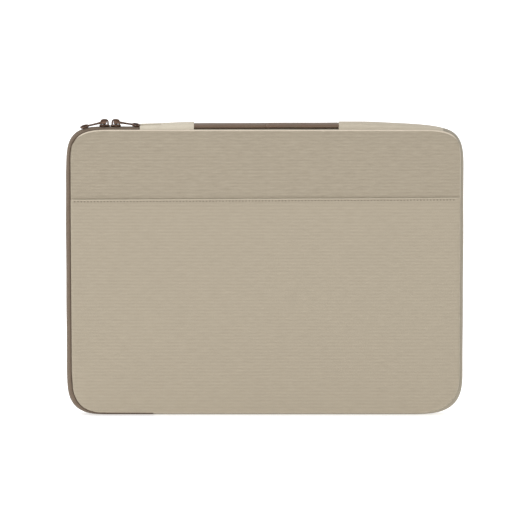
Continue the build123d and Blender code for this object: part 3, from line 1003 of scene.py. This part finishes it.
def cover_height_left(x):
    """Padding over the left end of the handle, fuller towards it."""
    t = (x - COVER_L_LOW[0]) / (COVER_L_HIGH[0] - COVER_L_LOW[0])
    return LEFT_LOW + LEFT_RISE * np.clip(t, 0, 1) ** 0.85


def cover_height_right(x):
    """Padding from the handle to the closed side's corner, where it dies away."""
    start = COVER_R_LOW[0] + RIGHT_LEVEL
    t = (x - start) / (COVER_RIGHT_FADE - start)
    return RIGHT_HIGH * (1 - np.clip(t, 0, 1) ** 2)


CHANNEL_HALF = 5.6
CHANNEL_LIP = 0.7
CHANNEL_SLOPE = 0.9
CHANNEL_END_SLOPE = 1.6
CHANNEL_FLOOR = 0.04
CHANNEL_END = COVER_L_LOW[0] + 19.4


def channel(x, y):
    """Share of the padding that is left where the pull lies in its channel."""
    across = smooth((CHANNEL_HALF + CHANNEL_LIP - np.abs(y)) / CHANNEL_SLOPE)
    return 1 - across * smooth((CHANNEL_END + CHANNEL_END_SLOPE / 2 - x) / CHANNEL_END_SLOPE)


def cover(name, x_low, x_high, height, section, material, replaces, open_channel=False):
    """Padded cover along the top: closed form with a crowned section and turned-in ends."""
    xs = np.concatenate([
        [x_low, x_low + 0.25, x_low + 0.7], np.arange(x_low + 1.4, x_high - 1.2, 1.6),
        [x_high - 0.7, x_high - 0.25, x_high],
    ])
    y_low, y_high = FRONT_Y + COVER_INSET, BACK_Y - COVER_INSET
    ys = np.concatenate([
        [y_low], np.linspace(y_low + 0.25, CHANNEL_HALF * -1.25, 7),
        np.linspace(-CHANNEL_HALF * 1.15, CHANNEL_HALF * 1.15, 21),
        np.linspace(CHANNEL_HALF * 1.25, y_high - 0.25, 7), [y_high],
    ])
    t = np.abs(2 * (ys - MID_Y) / (y_high - y_low))
    swell = (1 - np.clip(t, 0, 1) ** section[0]) ** section[1]
    rings, cloth = [], []
    for x in xs:
        near = min(x - x_low, x_high - x)
        pinch = 1 - COVER_PINCH * (1 - math.sqrt(1 - (1 - min(near / COVER_ROUND, 1)) ** 2))
        base = band_z(x) - seam_drop(np.array([[x, band_z(x)]]))[0] * crown(ys) - COVER_BASE
        h = (height(x) + 0.1 * np.sin(x / 7.0) * np.sin(ys / 5.0 + 0.4)) * swell * pinch
        if open_channel:
            h = h * channel(x, ys) + CHANNEL_FLOOR * (1 - channel(x, ys))
        top = np.column_stack([np.full(len(ys), x), ys, base + COVER_BASE + np.maximum(h, 0.02)])
        low = np.column_stack([np.full(len(ys), x), ys, base])[::-1]
        rings.append(np.vstack([top, low]))
        cloth.append(cloth_ring(x, np.concatenate([ys, ys[::-1] + COVER_UNDERSIDE])))
    verts, faces = loft(rings)
    faces = [f[::-1] for f in faces]
    piece = build(
        name, verts, faces, np.concatenate(cloth), material, body="body", replaces=replaces, slot="canvas",
    )


# The covers' lighter canvas copies are painted top light
cover(
    "gusset_pad_left", COVER_L_LOW[0] - COVER_OVER, COVER_L_HIGH[0] + COVER_OVER, cover_height_left,
    LEFT_SECTION, CANVAS_PAINTED_TOP_LIGHT, ("gusset_cover_left", "zip_tab_top"), open_channel=True,
)
cover(
    "gusset_pad_right", COVER_R_LOW[0], COVER_RIGHT_FADE, cover_height_right,
    RIGHT_SECTION, CANVAS_PAINTED_TOP_LIGHT_RIGHT, ("gusset_cover_right",),
)

STRAP_HALF_W = (GRIP_HIGH[1] - GRIP_LOW[1]) / 2 - 0.7
STRAP_THICK = GRIP_HIGH[2] - GRIP_LOW[2]
STRAP_MID = (RUN_L_LOW[0] + RUN_R_HIGH[0]) / 2
STRAP_RISE = 0.3
STRAP_SAG = 0.95
STRAP_BULGE = 0.1
STRAP_SIDES = 28
STRAP_SECTION = (0.28, 0.55)
STRAP_LOW = GRIP_LOW[2] - 0.3
BACKING_LOW = GRIP_LOW[2] - 0.72
BACKING_THICK = 0.45
BACKING_REACH = 0.3
DIP_WIDTH = 2.6
DIP_SQUEEZE = 0.42


def strap_piece(name, x_low, x_high, z_low, thick, half_w, material, slot, replaces):
    """Length of the carrying strap, dipping under the covers at its sewn end."""
    xs = np.linspace(x_low, x_high, int((x_high - x_low) / 1.5) + 2)
    a = turns(STRAP_SIDES)
    yy = half_w * signed_power(np.cos(a), STRAP_SECTION[0])
    zz = thick / 2 * signed_power(np.sin(a), STRAP_SECTION[1])
    off = np.abs(yy / half_w)
    rings, cloth = [], []
    for x in xs:
        dip = smooth((RUN_L_LOW[0] + 0.3 - x) / DIP_WIDTH) + smooth((x - RUN_R_HIGH[0]) / DIP_WIDTH)
        level = z_low + thick / 2 - dip * (z_low - END_L_LOW[2] + 0.2)
        level += STRAP_RISE * (x - STRAP_MID) / 68.0 * (1 - dip)
        top = STRAP_BULGE * (1 - off ** 2) * (np.sin(a) > 0) * (1 - dip)
        sag = STRAP_SAG * off ** 2.4 * (1 - 0.6 * dip)
        height = level + zz * (1 - DIP_SQUEEZE * dip) + top - sag + 0.07 * math.sin(x / 11.0)
        rings.append(np.column_stack([np.full(STRAP_SIDES, x), yy * (1 - 0.3 * dip), height]))
        cloth.append(cloth_ring(x, np.arange(STRAP_SIDES) * 1.6))
    verts, faces = loft(rings)
    return build(name, verts, faces, np.concatenate(cloth), material, replaces=replaces, slot=slot)


def strap_halves(stem, z_low, thick, half_w, material, slot, reach, replaces_left, replaces_right):
    """Both halves of one layer of the strap, each running from its sewn end under the cover to the middle.
    """
    left_end = END_L_LOW[0] * reach + RUN_L_LOW[0] * (1 - reach)
    right_end = END_R_HIGH[0] * reach + RUN_R_HIGH[0] * (1 - reach)
    for side, ends, held, inward, replaces in (
        ("left", (left_end, STRAP_MID), RUN_L_LOW[0], 1, replaces_left),
        ("right", (STRAP_MID, right_end), RUN_R_HIGH[0], -1, replaces_right),
    ):
        name = f"{stem}_{side}_half"
        piece = strap_piece(name, *ends, z_low, thick, half_w, material, slot, replaces)
        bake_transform(piece)


strap_halves(
    "handle_strap", STRAP_LOW, STRAP_THICK, STRAP_HALF_W, STRAP, "strap", 1.0,
    ("handle_grip", "handle_run_left", "handle_end_left"), ("handle_run_right", "handle_end_right"),
)
strap_halves(
    "handle_backing", BACKING_LOW, BACKING_THICK, STRAP_HALF_W - 0.7, WEBBING, "webbing", BACKING_REACH,
    ("handle_lining",), (),
)


# ---------------- sliders and pulls

def fused(name, shells, voxel, body, replaces):
    """Several overlapping closed shells melted into one smooth metal form."""
    verts, faces = [], []
    for shell_verts, shell_faces in shells:
        base = len(verts)
        verts += list(shell_verts)
        faces += [[base + v for v in face] for face in shell_faces]
    mesh = bpy.data.meshes.new(name + "_shells")
    mesh.from_pydata([list(np.asarray(v) * MM) for v in verts], [], faces)
    obj = new_object(name, mesh)
    remesh = obj.modifiers.new("melt", "REMESH")
    remesh.mode = "VOXEL"
    remesh.voxel_size = voxel * MM
    relax = obj.modifiers.new("relax", "SMOOTH")
    relax.iterations = 3
    solid = bpy.data.meshes.new_from_object(obj.evaluated_get(bpy.context.evaluated_depsgraph_get()))
    obj.modifiers.clear()
    obj.data = solid
    solid.name = name
    solid.polygons.foreach_set("use_smooth", [True] * len(solid.polygons))
    solid.materials.clear()
    solid.materials.append(METAL)
    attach(obj, body)
    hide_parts(replaces)


def bar_shell(path, half_a, half_b, axis_b, power=2.6, sides=14):
    """Closed bar along a path; half_b is measured along axis_b, half_a across it."""
    path = np.asarray(path, float)
    along = np.gradient(path, axis=0)
    along /= np.linalg.norm(along, axis=1)[:, None]
    a = turns(sides)
    ca, sa = signed_power(np.cos(a), 2 / power), signed_power(np.sin(a), 2 / power)
    rings = []
    for p, t, ha, hb in zip(path, along, half_a, half_b):
        b = np.asarray(axis_b, float) - t * np.dot(axis_b, t)
        b /= np.linalg.norm(b)
        side = np.cross(t, b)
        rings.append(p + ha * ca[:, None] * side + hb * sa[:, None] * b)
    return loft(rings)


RING_STEPS = 40
RING_SIDES = 14


def torus_shell(centre, u, v, radius, half_flat, half_tall):
    """Closed ring in the plane of u and v."""
    w = np.cross(u, v)
    b = turns(RING_SIDES)
    rings = []
    for t in turns(RING_STEPS):
        out = math.cos(t) * u + math.sin(t) * v
        flat = np.cos(b)[:, None] * half_flat * out
        rings.append(centre + out * radius + flat + np.sin(b)[:, None] * half_tall * w)
    return loft(rings, closed_path=True)


PIN_Z = joint_place("pull_left_lift")[2] / MM
RING_REACH = 19.2
RING_MID = 3.45
RING_R = (1.0, 0.95)
RING_ROLL = math.radians(9.0)
EYE_ARM_Y = 2.15
EYE_END = 5.6
EYE_BACK = 2.1
PIN_HALF = 2.7
PIN_R = 0.85
YOKE_HALF = 2.5
YOKE_R = (0.8, 0.88)
CHEEK_R = 2.2
CHEEK_LOW = 0.9
CHEEK_THICK = 0.6
WAIST = 1.2
BAR_THICK = 0.9
PULL_VOXEL = 0.15
LEFT_DROOP = math.radians(13.2)
RIGHT_DROOP = math.radians(8.5)
Y_AXIS = np.array([0.0, 1.0, 0.0])


def slider_x(stem):
    """Middle of a slider, where its pull's pin is."""
    low, high = mm_box(stem + "_body")
    return (low[0] + high[0]) / 2


def zip_pull(name, x, side, droop):
    """Cast pull: pin, forked eye, waisted bar and ring."""
    reach = np.array([side * math.cos(droop), 0, -math.sin(droop)])
    up = np.array([side * math.sin(droop), 0, math.cos(droop)])
    pin = np.array([x, 0.0, PIN_Z])

    def at(r, y=0.0):
        return pin + reach * r + Y_AXIS * y

    t = np.linspace(0, 1, 12)
    bar_path = [at(EYE_END - 0.6 + (RING_REACH - RING_MID - EYE_END + 1.0) * k) for k in t]
    waist = WAIST + 0.5 * (2 * t - 1) ** 2
    rolled = Y_AXIS * math.cos(RING_ROLL) + up * math.sin(RING_ROLL)
    pin_path = [at(0, y) for y in np.linspace(-PIN_HALF, PIN_HALF, 8)]
    yoke_path = [at(EYE_END, y) for y in np.linspace(-YOKE_HALF, YOKE_HALF, 8)]
    shells = [
        bar_shell(bar_path, waist, BAR_THICK + 0.12 * (1 - t) ** 2, up),
        torus_shell(at(RING_REACH), reach, rolled, RING_MID, *RING_R),
        bar_shell(pin_path, [PIN_R] * 8, [PIN_R] * 8, up, power=2),
        bar_shell(yoke_path, [YOKE_R[0]] * 8, [YOKE_R[1]] * 8, up),
    ]
    r = np.concatenate([np.linspace(-EYE_BACK, 0, 8), np.linspace(0.6, EYE_END + 0.4, 9)])
    round_end = np.sqrt(np.maximum(CHEEK_R ** 2 - r ** 2, 0.3))
    cheek = np.where(r < 0, round_end, CHEEK_LOW + (CHEEK_R - CHEEK_LOW) * smooth(1 - r / 3.6))
    for arm in (-EYE_ARM_Y, EYE_ARM_Y):
        shells.append(bar_shell([at(k, arm) for k in r], [CHEEK_THICK] * len(r), cheek, up))
    fused(name + "_cast", shells, PULL_VOXEL, name, name)


NOSE_EXTRA = 0.25
NOSE_NARROW = 0.38
ARCH_R = 0.8
ARCH_HALF_W = 1.2
ARCH_CLEAR = 0.02
ARCH_ROOT = 0.9
ARCH_STEPS = 26
SHELL_VOXEL = 0.16
ARCH_VOXEL = 0.13


def slider(stem, nose):
    """Slider shell with its arch: rounded shield, narrower at the nose."""
    low, high = mm_box(stem + "_body")
    arch_low, arch_high = mm_box(stem + "_bridge")
    x = slider_x(stem)
    half = (high[0] - low[0]) / 2
    t = np.linspace(-1, 1, 22)
    width = high[1] * (1 - NOSE_NARROW * smooth(t * 1.1)) * np.clip(1 - np.abs(t) ** 7, 0.25, 1)
    height = (high[2] - low[2]) / 2 * np.clip(1 - 0.3 * np.abs(t) ** 5, 0.5, 1)
    path = [(x + nose * (half * k + NOSE_EXTRA * (k + 1) / 2), 0, low[2] + h) for k, h in zip(t, height)]
    shell = bar_shell(path, width, height, (0, 0, 1), power=3.4, sides=24)
    fused(stem + "_shell", [shell], SHELL_VOXEL, stem, stem + "_body")
    a = np.linspace(-math.pi * 0.5, math.pi * 0.5, ARCH_STEPS)
    leg = (arch_high[0] - arch_low[0]) / 2 - ARCH_R - ARCH_CLEAR
    root = high[2] - ARCH_ROOT
    rise = arch_high[2] - ARCH_R - ARCH_CLEAR - root
    arch_x = x + leg * signed_power(np.sin(a), 0.62)
    arch_z = root + rise * np.abs(np.cos(a)) ** 0.45
    arch_path = np.column_stack([arch_x, np.zeros(ARCH_STEPS), arch_z])
    wide = ARCH_HALF_W + 0.12 * np.cos(a)
    arch = bar_shell(arch_path, np.full(ARCH_STEPS, ARCH_R), wide, (0, 1, 0))
    fused(stem + "_arch", [arch], ARCH_VOXEL, stem, stem + "_bridge")


slider("slider_left", 1)
slider("slider_right", -1)
zip_pull("pull_left", slider_x("slider_left"), -1, LEFT_DROOP)
zip_pull("pull_right", slider_x("slider_right"), 1, RIGHT_DROOP)

# ---------------- stage and camera

SPAN = 12.0
FLOOR_GREY = 0.85
FLOOR_GLOW = 0.62
WORLD_LIGHT = 0.85
ELEVATION = math.radians(8.5)
DISTANCE = 6.0
SENSOR = 36.0
FRAME_WIDTH = 0.50032
AIM = Vector((0.0004, 0.0, 0.1425))

floor_mesh = bpy.data.meshes.new("floor")
floor_mesh.from_pydata(
    [(-SPAN, -SPAN, 0), (SPAN, -SPAN, 0), (SPAN, SPAN, 0), (-SPAN, SPAN, 0)], [], [(0, 1, 2, 3)]
)
floor_mat, floor_shader, _ = nodes_of("floor_white")
floor_shader.inputs["Base Color"].default_value = (FLOOR_GREY, FLOOR_GREY, FLOOR_GREY, 1)
floor_shader.inputs["Emission Color"].default_value = (1, 1, 1, 1)
floor_shader.inputs["Emission Strength"].default_value = FLOOR_GLOW
floor_shader.inputs["Roughness"].default_value = 0.9
floor_mesh.materials.append(floor_mat)
new_object("floor", floor_mesh)


def soft_light(name, place, aim, size, power):
    """White rectangular light turned towards a point."""
    data = bpy.data.lights.new(name, "AREA")
    data.shape = "RECTANGLE"
    data.size, data.size_y = size
    data.energy = power
    lamp = new_object(name, data)
    lamp.location = place
    lamp.rotation_euler = (Vector(aim) - Vector(place)).to_track_quat("-Z", "Y").to_euler()


soft_light("key", (-0.1, -1.6, 0.05), (0, 0, 0.1), (1.4, 0.12), 5.5)
soft_light("top", (-1.3, 0.1, 2.1), (0, 0, 0.25), (1.6, 1.2), 24.0)

world = bpy.data.worlds.new("studio")
world.use_nodes = True
backdrop = world.node_tree.nodes["Background"]
backdrop.inputs["Color"].default_value = (1, 1, 1, 1)
backdrop.inputs["Strength"].default_value = WORLD_LIGHT
bpy.context.scene.world = world
bpy.context.scene.view_settings.view_transform = "Standard"

camera_data = bpy.data.cameras.new("camera")
camera_data.sensor_width = SENSOR
camera_data.lens = SENSOR * DISTANCE / FRAME_WIDTH
camera = new_object("camera", camera_data)
camera.location = AIM + DISTANCE * Vector((0, -math.cos(ELEVATION), math.sin(ELEVATION)))
camera.rotation_euler = (AIM - camera.location).to_track_quat("-Z", "Y").to_euler()
camera_data.clip_end = 60.0
bpy.context.scene.camera = camera
